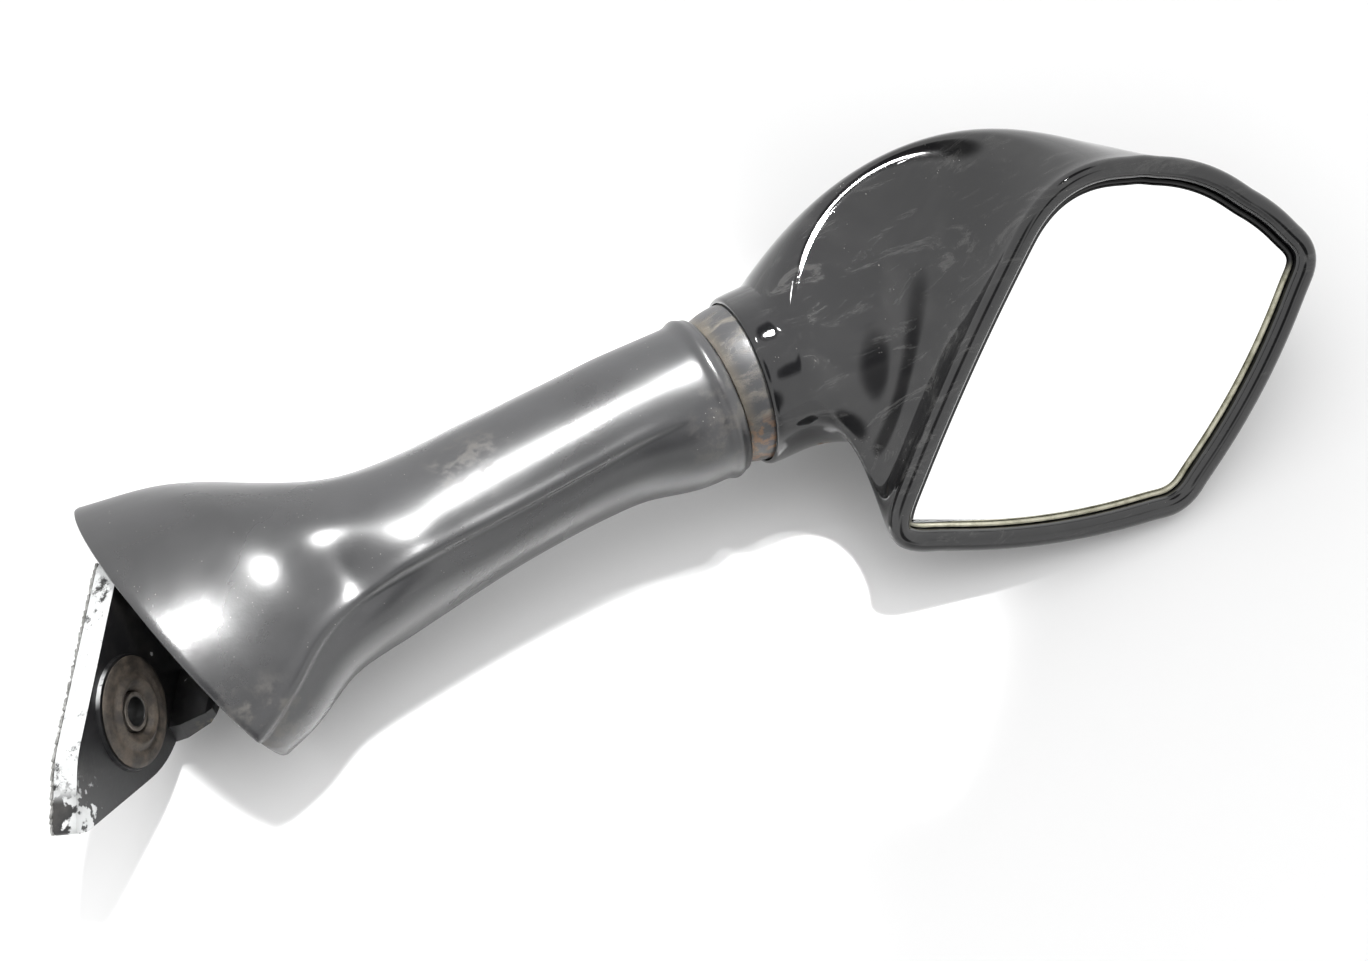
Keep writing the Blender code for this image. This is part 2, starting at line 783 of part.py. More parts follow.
def make_head(centre, paint, glass, seal, plastic):
    outline = rim_outline(HEAD_POINTS)
    outer = shell_ribs()
    inner = shell_ribs(SHELL_WALL)
    turns = [neck_turn(i) for i in range(HEAD_POINTS)]

    def neck_loop(x, radius):
        return [neck_point(x, radius, turn) for turn in turns]

    seat = COLLAR_SPHERE + 0.0004
    lip = [neck_loop(LIP_X, 0.0252), neck_loop(LIP_X + 0.0006, 0.0259), neck_loop(LIP_X + 0.003, NECK_RADIUS)]
    bead = [on_rim(inset_outline(outline, inset), depth) for inset, depth in rim_bead()]
    bore = [
        neck_loop(BALL.x + 0.0085, seat - 0.0004),
        neck_loop(BALL.x + 0.0050, seat - 0.0001),
        neck_loop(BALL.x, seat),
        neck_loop(LIP_X, seat),
    ]
    bm = bmesh.new()
    ring_of_loops(bm, lip + outer[:-1] + bead + inner[1:-1][::-1] + bore)
    head = add_object("head_housing", bm, paint)
    parts = [head]
    glass_edge = inset_outline(outline, RIM_WIDTH + 0.0018)
    middle = glass_edge.mean(axis=0)
    for name, low, high, edge_line, finish in (
        ("mirror_glass", -GLASS_DEPTH - GLASS_THICK, -GLASS_DEPTH, glass_edge, glass),
        ("carrier_plate", -GLASS_DEPTH - GLASS_THICK - 0.0019, -GLASS_DEPTH - GLASS_THICK - 0.0005,
         middle + (glass_edge - middle) * CARRIER_SCALE, plastic),
    ):
        bm = bmesh.new()
        rows = ring_of_loops(bm, [on_rim(edge_line, low), on_rim(edge_line, high)], closed=False)
        bm.faces.new(rows[0])
        bm.faces.new(rows[-1])
        parts.append(add_object(name, bm, finish))
    bm = bmesh.new()
    low, high = -GLASS_DEPTH - 0.0016, -GLASS_DEPTH + 0.0006
    outside, inside = RIM_WIDTH + 0.0004, RIM_WIDTH + 0.0014
    corners = ((outside, low), (outside, high), (inside, high), (inside, low))
    ring_of_loops(bm, [on_rim(inset_outline(outline, inset), depth) for inset, depth in corners])
    parts.append(add_object("glass_seal", bm, seal))
    for made in parts:
        made.parent = centre
        made.matrix_parent_inverse = Matrix.Translation(centre.location).inverted()


def build():
    clear_scene()
    iron = material("black cast aluminium", (0.030, 0.030, 0.032), 0.45, 0.2)
    steel = material("zinc plated steel", (0.50, 0.48, 0.45), 0.35, 1.0)
    spring_steel = material("spring steel", (0.30, 0.30, 0.31), 0.35, 1.0)
    rubber = material("black rubber", (0.055, 0.056, 0.060), 0.50)
    grommet = material("aged rubber", (0.060, 0.050, 0.042), 0.70)
    pad = material("grey gasket", (0.30, 0.30, 0.29), 0.85)
    satin = material("satin black plastic", (0.045, 0.045, 0.047), 0.45)
    paint = material("gloss black paint", (0.006, 0.006, 0.007), 0.06)
    glass = material("mirror glass", (0.92, 0.93, 0.93), 0.02, 1.0)
    seal = material("cream seal", (0.62, 0.58, 0.44), 0.60)
    plastic = material("black nylon", (0.020, 0.020, 0.020), 0.50)
    alloy = material("die-cast alloy", (0.55, 0.55, 0.56), 0.40, 1.0)
    level = math.cos(FOOT_LEAN)
    lean = Vector((level * math.cos(FOOT_HEADING), level * math.sin(FOOT_HEADING), math.sin(FOOT_LEAN)))
    long_way = Vector((0, 0, 1)).cross(lean).normalized()
    turn = Matrix((long_way.cross(lean), long_way, lean)).transposed()
    foot = add_empty("foot_frame", (0, 0, 0), turn)
    fold = add_empty("fold_axis", (FOLD_X, FOLD_Y, 0))
    ball = add_empty("ball_centre", BALL)
    make_foot(foot, iron, pad, grommet, steel)
    make_fold_joint(fold, steel, spring_steel)
    make_boot(fold, rubber)
    make_arm(fold, iron)
    make_ball_end(ball, satin, steel)
    make_socket(ball, plastic, steel, alloy)
    make_head(ball, paint, glass, seal, plastic)


build()
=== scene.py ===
"""Looks for the fairing mirror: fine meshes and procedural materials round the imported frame."""
import math

import bmesh
import bpy
import numpy as np
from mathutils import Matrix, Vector


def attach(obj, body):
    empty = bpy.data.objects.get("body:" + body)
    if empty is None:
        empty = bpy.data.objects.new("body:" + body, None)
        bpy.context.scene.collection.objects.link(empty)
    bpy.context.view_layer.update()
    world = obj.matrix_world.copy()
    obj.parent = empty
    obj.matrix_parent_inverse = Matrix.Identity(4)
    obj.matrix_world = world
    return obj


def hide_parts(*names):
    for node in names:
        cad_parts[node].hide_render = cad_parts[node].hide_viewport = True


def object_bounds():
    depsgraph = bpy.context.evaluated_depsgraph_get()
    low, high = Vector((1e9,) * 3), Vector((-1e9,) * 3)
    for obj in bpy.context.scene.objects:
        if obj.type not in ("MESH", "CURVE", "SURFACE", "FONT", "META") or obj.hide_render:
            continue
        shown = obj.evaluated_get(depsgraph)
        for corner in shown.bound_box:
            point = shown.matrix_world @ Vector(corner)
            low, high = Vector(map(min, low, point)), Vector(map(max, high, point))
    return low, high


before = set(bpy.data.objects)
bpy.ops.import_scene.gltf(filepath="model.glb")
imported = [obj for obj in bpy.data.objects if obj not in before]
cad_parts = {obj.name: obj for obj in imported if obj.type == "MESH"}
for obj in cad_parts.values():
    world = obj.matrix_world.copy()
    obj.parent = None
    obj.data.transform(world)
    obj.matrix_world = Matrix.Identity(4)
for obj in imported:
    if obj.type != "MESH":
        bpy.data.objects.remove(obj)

CAD_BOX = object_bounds()

# Design values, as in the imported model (metres).
FOOT_HEADING = math.radians(-31.7)
FOOT_LEAN = math.radians(20.2)
BOSS_TOP = 0.0097
GROMMET_RADIUS = 0.0156
MOUTH_X, MOUTH_Y = 0.0285, 0.0137
MOUTH_HEADING = math.radians(11.3)
BOOT_WALL = 0.0026
BOOT_END = 0.1982
BALL = Vector((0.2085, 0.0094, 0.0063))
COLLAR_SPHERE = 0.0243
LIP_X = 0.2066
NECK_RADIUS = 0.0262
NECK_FLARE = 0.93
RIM_FLARE = -0.95
LIP_SHIFT, LIP_TILT = 0.0008, 0.085
CROWN_NORMAL = Vector((-0.15, -0.31, 0.94)).normalized()
CROWN_LEVEL = -0.0110
CROWN_SOFT = 0.0035
SIDE_BOWS = (0.040, 0.040, 0.040, 0.040, 0.014)
RIM_CENTRE = Vector((0.3017, -0.0362, 0.0159))
RIM_LEAN = math.radians(44.0)
RIM_CORNERS = (
    (-0.0880, -0.0290, 0.014),
    (0.0150, -0.0610, 0.020),
    (0.0860, -0.0020, 0.015),
    (0.0560, 0.0400, 0.060),
    (0.0060, 0.0600, 0.042),
)
RIM_WIDTH = 0.0066
SHELL_WALL = 0.0024
GLASS_DEPTH = 0.0050
GLASS_THICK = 0.0020
GLASS_CLEAR = 0.0018
LIP_RUN = 0.010
NECK_START = math.radians(-205.0)   # where each head loop starts, so that its ribs run straight
LIP_LEAN_TOWARDS = math.radians(30.0)
RIB_START_PULL, RIB_END_PULL = 1.2, 1.3
RIB_END_DEPTH = -0.0035
LIP_PROFILE = (
    (0.0, 0.02520),
    (0.0002, 0.02560),
    (0.0007, 0.02590),
    (0.0016, 0.02605),
    (0.0040, NECK_RADIUS),
    (0.0070, NECK_RADIUS),
)   # (from the lip along X, radius)
COLLAR_WALL = 0.0022
SLEEVE_INNER, SLEEVE_OUTER = 0.0041, 0.0055
GROMMET_BORE = 0.0058
GROMMET_NECK = 0.0092
TRIM_BASE = 0.0016
TRIM_LIFT = 0.0003

# The gasket: its corners in the foot's plane as (across, along, corner radius), and its levels.
GASKET_CORNERS = (
    (-0.0185, 0.0400, 0.006),
    (-0.0185, -0.0220, 0.030),
    (-0.0125, -0.0410, 0.002),
    (-0.0080, -0.0385, 0.012),
    (0.0225, -0.0060, 0.035),
    (0.0285, 0.0230, 0.018),
    (0.0170, 0.0460, 0.014),
)
GASKET_LEVELS = ((0.0, 0.985), (0.0001, 1.0), (0.0009, 1.004), (0.0010, 0.985))
GASKET_HOLE = 0.0095
GASKET_POINTS = 360

# The stay and its boot: curves along X through (place, value) stations.
STAY_Y = (
    (MOUTH_X, MOUTH_Y),
    (0.058, 0.0125),
    (0.088, 0.0065),
    (0.130, 0.0084),
    (0.165, 0.0098),
    (0.183, BALL.y),
    (0.200, BALL.y),
)
STAY_Z = ((MOUTH_X, 0.0), (0.088, 0.0004), (0.150, 0.0034), (0.183, BALL.z), (0.200, BALL.z))
BOOT_ACROSS = (
    (MOUTH_X, 0.0495),
    (0.048, 0.0455),
    (0.070, 0.0350),
    (0.092, 0.0288),
    (0.130, 0.0262),
    (0.185, 0.0242),
    (0.200, 0.0242),
)
BOOT_HEIGHT = (
    (MOUTH_X, 0.0272),
    (0.055, 0.0268),
    (0.090, 0.0262),
    (0.130, 0.0248),
    (0.185, 0.0242),
    (0.200, 0.0242),
)
MOUTH_FADE = ((MOUTH_X, 1.0), (0.062, 0.42), (0.100, 0.0), (0.201, 0.0))
CREASE_DEGREES = (
    (MOUTH_X, 162.0),
    (0.050, 148.0),
    (0.070, 134.0),
    (0.090, 125.0),
    (0.130, 127.0),
    (0.200, 128.0),
)   # from +Y towards +Z
CREASE_LEDGE = (
    (MOUTH_X, 0.030),
    (0.070, 0.055),
    (0.110, 0.072),
    (0.165, 0.060),
    (0.184, 0.0),
    (0.200, 0.0),
)
SIDE_DRAW = (
    (MOUTH_X, 0.02),
    (0.060, 0.10),
    (0.085, 0.17),
    (0.125, 0.20),
    (0.160, 0.15),
    (0.184, 0.0),
    (0.200, 0.0),
)
BOOT_DENTS = (
    (0.076, 112.0, 0.0090, 22.0, -0.0034),
    (0.060, 96.0, 0.0110, 26.0, 0.0018),
    (0.097, 118.0, 0.0100, 22.0, 0.0012),
    (0.050, 62.0, 0.0140, 20.0, 0.0022),
    (0.082, 60.0, 0.0120, 22.0, -0.0014),
)   # (place, degrees round, length, width in degrees, height)
UNDERSIDE_END, UNDERSIDE_SOFT, DRAW_WIDTH = 268.0, 14.0, 62.0   # degrees
BOOT_BEAD = (0.1945, 0.0020, 0.0011)   # (place, half width, height)

# How finely the meshes are divided.
HEAD_POINTS = 240
RIB_STEPS = 64
INNER_SKIP = 4
BEAD_STEPS = 16
SIDE_STEPS = 24
CORNER_STEPS = 8
ROUND_STEPS = 4
BOOT_POINTS = 320
TRIM_POINTS = 96
COLLAR_POINTS = 160

# Room, lamps and camera.
ROOM_LIGHT = 1.30
DARK_PATCHES = (
    ((0.34, 0.30, 0.89), 9.0, 15.0, 0.06),
    ((-0.10, -0.93, 0.35), 10.0, 20.0, 0.08),
    ((0.33, -0.60, 0.72), 4.0, 11.0, 0.14),
    ((-0.235, -0.441, 0.866), 8.0, 19.0, 0.12),
)   # (direction, inner degrees, outer degrees, strength)
LAMPS = (
    ("overhead_window", (0.20, 0.23, 1.02), (0.085, 0.0, 0.0), (0.12, 0.30), 0.22, 10.0),
    ("small_window", (0.47, 0.22, 0.86), (0.205, 0.0, 0.0), (0.10, 0.08), 0.06, 7.0),
    ("second_lamp", (0.53, 0.12, 0.86), (0.215, 0.0, 0.0), (0.02, 0.02), 0.005, 8.0),
)   # (name, place, target, size, power in watts, spread in degrees)
FLOOR_RADIUS = 6.0
FLOOR_GAP = 0.0002

STEEL_NODES = (
    "fold_bolt",
    "fold_washer_upper",
    "fold_nut",
    "ball_stud",
    "clamp_plate",
    "clamp_screw_1",
    "clamp_screw_2",
    "clamp_screw_3",
)

VIEW_AZIMUTH, VIEW_ELEVATION = math.radians(-28.0), math.radians(60.0)
VIEW_TARGET = Vector((0.1774, -0.0105, 0.0023))
VIEW_DISTANCE = 0.67


# ---------------------------------------------------------------- materials


class Nodes:
    """Short way to write a node tree; every value is a number, a socket or None."""

    def __init__(self, name):
        self.material = bpy.data.materials.new(name)
        self.material.use_nodes = True
        self.tree = self.material.node_tree
        self.shader = self.tree.nodes["Principled BSDF"]
        self.place = self.add("ShaderNodeTexCoord").outputs["Object"]

    def add(self, kind, **settings):
        node = self.tree.nodes.new(kind)
        for key, value in settings.items():
            setattr(node, key, value)
        return node

    def put(self, socket, value):
        if isinstance(value, bpy.types.NodeSocket):
            self.tree.links.new(value, socket)
        elif value is not None:
            socket.default_value = value

    def noise(self, scale, detail=4.0, roughness=0.55, distortion=0.0, stretch=None):
        node = self.add("ShaderNodeTexNoise")
        self.put(node.inputs["Vector"], self.stretched(stretch))
        self.put(node.inputs["Scale"], scale)
        self.put(node.inputs["Detail"], detail)
        self.put(node.inputs["Roughness"], roughness)
        self.put(node.inputs["Distortion"], distortion)
        return node.outputs["Fac"]

    def stretched(self, stretch=None):
        if stretch is None:
            return self.place
        node = self.add("ShaderNodeMapping")
        self.put(node.inputs["Vector"], self.place)
        self.put(node.inputs["Scale"], stretch)
        return node.outputs["Vector"]

    def cells(self, scale):
        node = self.add("ShaderNodeTexVoronoi")
        self.put(node.inputs["Vector"], self.place)
        self.put(node.inputs["Scale"], scale)
        return node.outputs["Distance"]

    def along(self, direction, of=None):
        """How far a place (or another vector) lies along a direction."""
        node = self.add("ShaderNodeVectorMath", operation="DOT_PRODUCT")
        self.put(node.inputs[0], of or self.place)
        node.inputs[1].default_value = direction
        return node.outputs["Value"]

    def ramp(self, value, low, high, start=0.0, end=1.0):
        node = self.add("ShaderNodeMapRange", interpolation_type="SMOOTHSTEP")
        self.put(node.inputs["Value"], value)
        for key, number in (("From Min", low), ("From Max", high), ("To Min", start), ("To Max", end)):
            self.put(node.inputs[key], number)
        return node.outputs["Result"]

    def maths(self, operation, a, b):
        node = self.add("ShaderNodeMath", operation=operation)
        self.put(node.inputs[0], a)
        self.put(node.inputs[1], b)
        return node.outputs[0]

    def plus(self, a, b):
        return self.maths("ADD", a, b)

    def times(self, a, b):
        return self.maths("MULTIPLY", a, b)

    def mix(self, factor, a, b):
        node = self.add("ShaderNodeMix", data_type="RGBA")
        self.put(node.inputs[0], factor)
        self.put(node.inputs[6], (*a, 1.0) if isinstance(a, tuple) else a)
        self.put(node.inputs[7], (*b, 1.0) if isinstance(b, tuple) else b)
        return node.outputs[2]

    def axis(self, index, at=None):
        node = self.add("ShaderNodeSeparateXYZ")
        self.put(node.inputs[0], at or self.place)
        return node.outputs[index]

    def normal(self):
        return self.add("ShaderNodeNewGeometry").outputs["Normal"]

    def near(self, centre, radius):
        """One at the heart of a ball, falling to zero at its radius."""
        node = self.add("ShaderNodeVectorMath", operation="DISTANCE")
        self.put(node.inputs[0], self.place)
        node.inputs[1].default_value = centre
        return self.ramp(node.outputs["Value"], radius, radius * 0.35)

    def bump(self, height, strength, distance, after=None):
        node = self.add("ShaderNodeBump")
        self.put(node.inputs["Height"], height)
        self.put(node.inputs["Strength"], strength)
        self.put(node.inputs["Distance"], distance)
        self.put(node.inputs["Normal"], after)
        return node.outputs["Normal"]

    def finish(self, colour=None, roughness=None, metallic=None, normal=None, **more):
        inputs = self.shader.inputs
        self.put(inputs["Base Color"], (*colour, 1.0) if isinstance(colour, tuple) else colour)
        self.put(inputs["Roughness"], roughness)
        self.put(inputs["Metallic"], metallic)
        if normal is not None:
            self.put(inputs["Normal"], normal)
        for key, value in more.items():
            self.put(inputs[key.replace("_", " ")], value)
        return self.material


def gloss_paint():
    """Black paint under a haze of wiped dust and swirl marks that shows only on upward faces, as painted top
    light, with grit where the neck meets the stay.
    """
    m = Nodes("gloss_black_paint")
    specks = m.ramp(m.cells(900.0), 0.16, 0.05)
    sparse = m.ramp(m.noise(260.0, 2.0), 0.60, 0.72)
    dust_spots = m.times(specks, sparse)
    haze = m.ramp(m.noise(26.0, 6.0, 0.65, 0.6), 0.40, 0.78)
    swirl = m.ramp(m.noise(70.0, 8.0, 0.75, 1.6, stretch=(0.35, 1.6, 1.2)), 0.52, 0.66)
    # Painted top light: the real haze and swirl marks lighten the paint only on faces turned upwards.
    upper = m.ramp(m.axis(2, m.normal()), -0.1, 0.6)
    dust_and_top_light = m.times(m.plus(m.times(haze, 0.030), m.times(swirl, 0.055)), upper)
    dirt_low = m.near((0.226, -0.012, -0.008), 0.014)
    grit = m.times(dirt_low, m.ramp(m.noise(420.0, 5.0), 0.50, 0.66))
    base = m.mix(dust_and_top_light, (0.0050, 0.0050, 0.0056), (0.55, 0.54, 0.52))
    base = m.mix(m.times(dust_spots, 0.55), base, (0.42, 0.40, 0.37))
    base = m.mix(grit, base, (0.20, 0.11, 0.05))
    rough = m.plus(m.ramp(haze, 0.0, 1.0, 0.045, 0.13), m.times(dust_spots, 0.4))
    rough = m.plus(rough, m.times(grit, 0.5))
    scratch = m.noise(900.0, 2.0, 0.5, 0.2, stretch=(0.08, 1.0, 0.6))
    relief = m.bump(m.ramp(scratch, 0.62, 0.70), 0.05, 0.0002)
    relief = m.bump(m.noise(38.0, 2.0), 0.06, 0.0006, relief)
    return m.finish(base, rough, None, relief, Coat_Weight=0.35, Coat_Roughness=0.04)


def boot_rubber():
    """Satin rubber in a dark mottle that is lighter on upward faces as painted top light, and soil in three
    places.
    """
    m = Nodes("boot_rubber")
    cloud = m.noise(18.0, 6.0, 0.62, 0.4)
    fine = m.noise(240.0, 5.0, 0.65)
    patch = m.ramp(cloud, 0.38, 0.68)
    # Painted top light: faces turned upwards get a lighter colour, in a mottle.
    painted_top_light = m.ramp(m.axis(2, m.normal()), -0.2, 0.75)
    speck = m.times(m.ramp(m.cells(620.0), 0.14, 0.05), m.ramp(m.noise(140.0, 2.0), 0.55, 0.70))
    mottle_and_top_light = m.times(m.plus(m.times(patch, 0.55), m.times(fine, 0.45)), painted_top_light)
    base = m.mix(mottle_and_top_light, (0.0040, 0.0042, 0.0050), (0.022, 0.022, 0.024))
    ends = m.plus(m.near((0.196, -0.010, 0.020), 0.022), m.near((0.036, -0.030, 0.010), 0.020))
    ends = m.plus(ends, m.near((0.120, 0.012, 0.028), 0.016))
    soil = m.times(ends, m.ramp(m.noise(170.0, 6.0, 0.7), 0.46, 0.66))
    base = m.mix(m.times(soil, 0.45), base, (0.105, 0.095, 0.080))
    base = m.mix(m.times(speck, 0.6), base, (0.40, 0.39, 0.36))
    rough = m.plus(m.ramp(cloud, 0.3, 0.7, 0.22, 0.33), m.times(soil, 0.3))
    relief = m.bump(m.noise(1300.0, 3.0, 0.6), 0.10, 0.0002)
    relief = m.bump(m.noise(55.0, 3.0), 0.12, 0.0010, relief)
    return m.finish(base, rough, None, relief, IOR=1.75, Specular_IOR_Level=0.60)


def cast_paint():
    """Black paint on cast aluminium: chipped through to bare metal where it rubs."""
    m = Nodes("cast_paint")
    sideways = -foot_axes()[0]
    near_edge = m.ramp(m.along(sideways), 0.0150, 0.0165)
    edge_wall = m.times(m.ramp(m.along(sideways, m.normal()), 0.35, 0.75), near_edge)
    rough_edge = m.ramp(m.noise(190.0, 6.0, 0.7), 0.36, 0.46)
    chips = m.ramp(m.noise(120.0, 5.0, 0.6), 0.690, 0.715)
    low_tip = m.near((-0.0205, -0.0290, 0.0080), 0.017)
    chips = m.maths("MAXIMUM", chips, m.times(low_tip, m.ramp(m.noise(150.0, 4.0), 0.53, 0.57)))
    bare = m.maths("MAXIMUM", m.times(edge_wall, rough_edge), chips)
    grime = m.ramp(m.noise(60.0, 6.0, 0.7), 0.45, 0.75)
    lug = m.times(m.near((0.0330, -0.0150, -0.0160), 0.016), m.ramp(m.noise(260.0, 5.0), 0.48, 0.60))
    paint = m.mix(grime, (0.010, 0.010, 0.011), (0.042, 0.040, 0.037))
    paint = m.mix(m.times(lug, 0.6), paint, (0.30, 0.25, 0.14))
    metal = m.mix(m.noise(300.0, 5.0), (0.52, 0.53, 0.53), (0.86, 0.87, 0.87))
    base = m.mix(bare, paint, metal)
    rough = m.ramp(bare, 0.0, 1.0, 0.34, 0.58)
    relief = m.bump(m.noise(420.0, 4.0, 0.6), 0.22, 0.0003)
    relief = m.bump(m.maths("SUBTRACT", 1.0, bare), 0.35, 0.0002, relief)
    return m.finish(base, rough, m.times(bare, 0.35), relief)


def rough_rubber(name, dark, light, scale=180.0):
    """Matt, mottled rubber or felt between two colours."""
    m = Nodes(name)
    base = m.mix(m.ramp(m.noise(scale, 6.0, 0.7), 0.35, 0.70), dark, light)
    relief = m.bump(m.noise(700.0, 4.0), 0.30, 0.0003)
    return m.finish(base, m.ramp(m.noise(90.0), 0.3, 0.7, 0.55, 0.80), None, relief)


def satin_band():
    """Dull plastic, soiled along its boot side and rusty low on the near side."""
    m = Nodes("satin_band")
    soil = m.ramp(m.noise(210.0, 7.0, 0.72, 0.4, stretch=(0.5, 1.0, 1.0)), 0.46, 0.66)
    edge = m.ramp(m.axis(0), 0.2026, 0.1985)
    rust = m.times(m.near((0.204, -0.014, 0.006), 0.016), m.ramp(m.noise(340.0, 5.0), 0.46, 0.58))
    base = m.mix(m.times(soil, 0.55), (0.040, 0.040, 0.042), (0.150, 0.135, 0.110))
    base = m.mix(m.times(edge, 0.5), base, (0.115, 0.095, 0.065))
    base = m.mix(m.times(rust, 0.7), base, (0.22, 0.11, 0.045))
    relief = m.bump(soil, 0.25, 0.0003, m.bump(m.noise(900.0, 3.0), 0.15, 0.0002))
    return m.finish(base, m.ramp(soil, 0.0, 1.0, 0.36, 0.66), None, relief)


def worn_steel(name, bright, dark, rust=0.35):
    """Plated steel, partly dulled and spotted with rust."""
    m = Nodes(name)
    patch = m.ramp(m.noise(220.0, 6.0, 0.7), 0.42, 0.68)
    base = m.mix(patch, bright, dark)
    base = m.mix(m.times(m.ramp(m.noise(320.0, 5.0), 0.55, 0.68), rust), base, (0.16, 0.07, 0.03))
    relief = m.bump(m.noise(500.0, 4.0), 0.15, 0.0002)
    return m.finish(base, m.ramp(patch, 0.0, 1.0, 0.28, 0.55), 0.85, relief)


def sleeve_steel():
    """Collar steel, bright on its end face, and painted near-black down its bore as painted shade in the
    hole.
    """
    m = Nodes("sleeve_steel")
    radius = m.add("ShaderNodeVectorMath", operation="CROSS_PRODUCT")
    m.put(radius.inputs[0], m.place)
    radius.inputs[1].default_value = foot_axes()[2]
    length = m.add("ShaderNodeVectorMath", operation="LENGTH")
    m.put(length.inputs[0], radius.outputs["Vector"])
    # Painted shade: inside the inner radius the bore's wall gets a near-black colour and no metal, as shade
    # down the hole.
    outer = m.ramp(length.outputs["Value"], SLEEVE_INNER, SLEEVE_INNER + 0.0005)
    wear = m.noise(420.0, 5.0)
    base = m.mix(outer, (0.004, 0.004, 0.004), m.mix(wear, (0.10, 0.085, 0.07), (0.34, 0.31, 0.28)))
    relief = m.bump(wear, 0.2, 0.0002)
    return m.finish(base, m.ramp(wear, 0.3, 0.7, 0.35, 0.6), m.times(outer, 0.8), relief)


def mirror_face():
    """Silvered glass with a faint smear."""
    m = Nodes("mirror_face")
    smear = m.ramp(m.noise(14.0, 5.0, 0.6, 0.8), 0.45, 0.80)
    base = m.mix(smear, (0.955, 0.960, 0.958), (0.925, 0.930, 0.925))
    return m.finish(base, m.ramp(smear, 0.0, 1.0, 0.012, 0.045), 1.0)


def seal_strip():
    """Stained cream strip on the low and outer sides, black on the rest."""
    m = Nodes("seal_strip")
    stain = m.ramp(m.noise(160.0, 6.0, 0.7), 0.40, 0.66)
    base = m.mix(stain, (0.62, 0.60, 0.47), (0.30, 0.29, 0.20))
    upper = m.along((-0.155, 0.719, 0.695))
    base = m.mix(m.ramp(upper, -0.079, -0.074), base, (0.012, 0.012, 0.012))
    relief = m.bump(m.noise(500.0, 4.0), 0.3, 0.0003)
    return m.finish(base, 0.55, None, relief)


def nylon():
    """Black moulded plastic of the inner parts."""
    m = Nodes("nylon")
    base = m.mix(m.noise(160.0, 5.0), (0.016, 0.016, 0.017), (0.034, 0.034, 0.035))
    relief = m.bump(m.noise(800.0, 3.0), 0.2, 0.0002)
    return m.finish(base, m.ramp(m.noise(70.0), 0.3, 0.7, 0.42, 0.58), None, relief)


def cast_alloy():
    """Bare cast alloy."""
    m = Nodes("cast_alloy")
    base = m.mix(m.noise(240.0, 5.0), (0.42, 0.43, 0.44), (0.66, 0.67, 0.68))
    relief = m.bump(m.noise(520.0, 5.0), 0.3, 0.0003)
    return m.finish(base, m.ramp(m.noise(110.0), 0.3, 0.7, 0.38, 0.55), 1.0, relief)


# ---------------------------------------------------------------- meshes


def add_piece(name, loops, finish, body, replaces, caps=False, smooth=40.0):
    """Skin over successive closed loops: capped at both ends, or else closed from the last to the first."""
    count = len(loops[0])
    points = np.concatenate([np.asarray([tuple(p) for p in loop], float) for loop in loops])
    faces = []
    rows = len(loops)
    for r in range(rows - 1 if caps else rows):
        following = (r + 1) % rows
        for i in range(count):
            j = (i + 1) % count
            faces.append((r * count + i, r * count + j, following * count + j, following * count + i))
    if caps:
        faces.append(tuple(range(count)))
        faces.append(tuple((rows - 1) * count + i for i in range(count)))
    add_mesh(name, points, faces, finish, body, replaces, smooth)


def add_mesh(name, points, faces, finish, body, replaces, smooth):
    """One object that rides a body, smooth but for edges sharper than `smooth` degrees."""
    mesh = bpy.data.meshes.new(name)
    mesh.from_pydata([tuple(p) for p in points], [], faces)
    bm = bmesh.new()
    bm.from_mesh(mesh)
    bmesh.ops.recalc_face_normals(bm, faces=bm.faces)
    bm.to_mesh(mesh)
    bm.free()
    mesh.materials.append(finish)
    mesh.shade_smooth()
    mesh.set_sharp_from_angle(angle=math.radians(smooth))
    made = bpy.data.objects.new(name, mesh)
    bpy.context.scene.collection.objects.link(made)
    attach(made, body)
    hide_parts(*replaces)


def turned(profile, centre, axes, count):
    """Loops of a closed profile (along, radius) turned about axes[2]."""
    loops = []
    for along, radius in profile:
        loop = []
        for i in range(count):
            a = 2 * math.pi * i / count
            spoke = axes[0] * radius * math.cos(a) + axes[1] * radius * math.sin(a)
            loop.append(centre + axes[2] * along + spoke)
        loops.append(loop)
    return loops


def rounded(corners, radius):
    """Closed profile with each corner rounded; corners are (along, radius) pairs."""
    points = []
    count = len(corners)
    for i in range(count):
        here = np.array(corners[i], float)
        before = np.array(corners[i - 1], float) - here
        after = np.array(corners[(i + 1) % count], float) - here
        reach = min(radius, np.linalg.norm(before) * 0.45, np.linalg.norm(after) * 0.45)
        start = here + before / np.linalg.norm(before) * reach
        end = here + after / np.linalg.norm(after) * reach
        for k in range(ROUND_STEPS + 1):
            u = k / ROUND_STEPS
            points.append(tuple(start * (1 - u) ** 2 + here * 2 * u * (1 - u) + end * u * u))
    return points


def blend(values, at):
    """Smooth curve through (position, value) stations, flat-ended Catmull-Rom."""
    places = [place for place, _ in values]
    at = min(max(at, places[0]), places[-1])
    k = max(i for i in range(len(values) - 1) if places[i] <= at)
    span = places[k + 1] - places[k]
    u = (at - places[k]) / span

    def slope(i):
        low, high = max(i - 1, 0), min(i + 1, len(values) - 1)
        return (values[high][1] - values[low][1]) / (places[high] - places[low])

    a, b = values[k][1], values[k + 1][1]
    h1, h2 = 2 * u**3 - 3 * u**2 + 1, u**3 - 2 * u**2 + u
    return h1 * a + h2 * span * slope(k) + (1 - h1) * b + (u**3 - u**2) * span * slope(k + 1)


# ---------------------------------------------------------------- head


def rim_axes():
    up = Vector((0, math.cos(RIM_LEAN), math.sin(RIM_LEAN)))
    out = Vector((0, -math.sin(RIM_LEAN), math.cos(RIM_LEAN)))
    return up, out


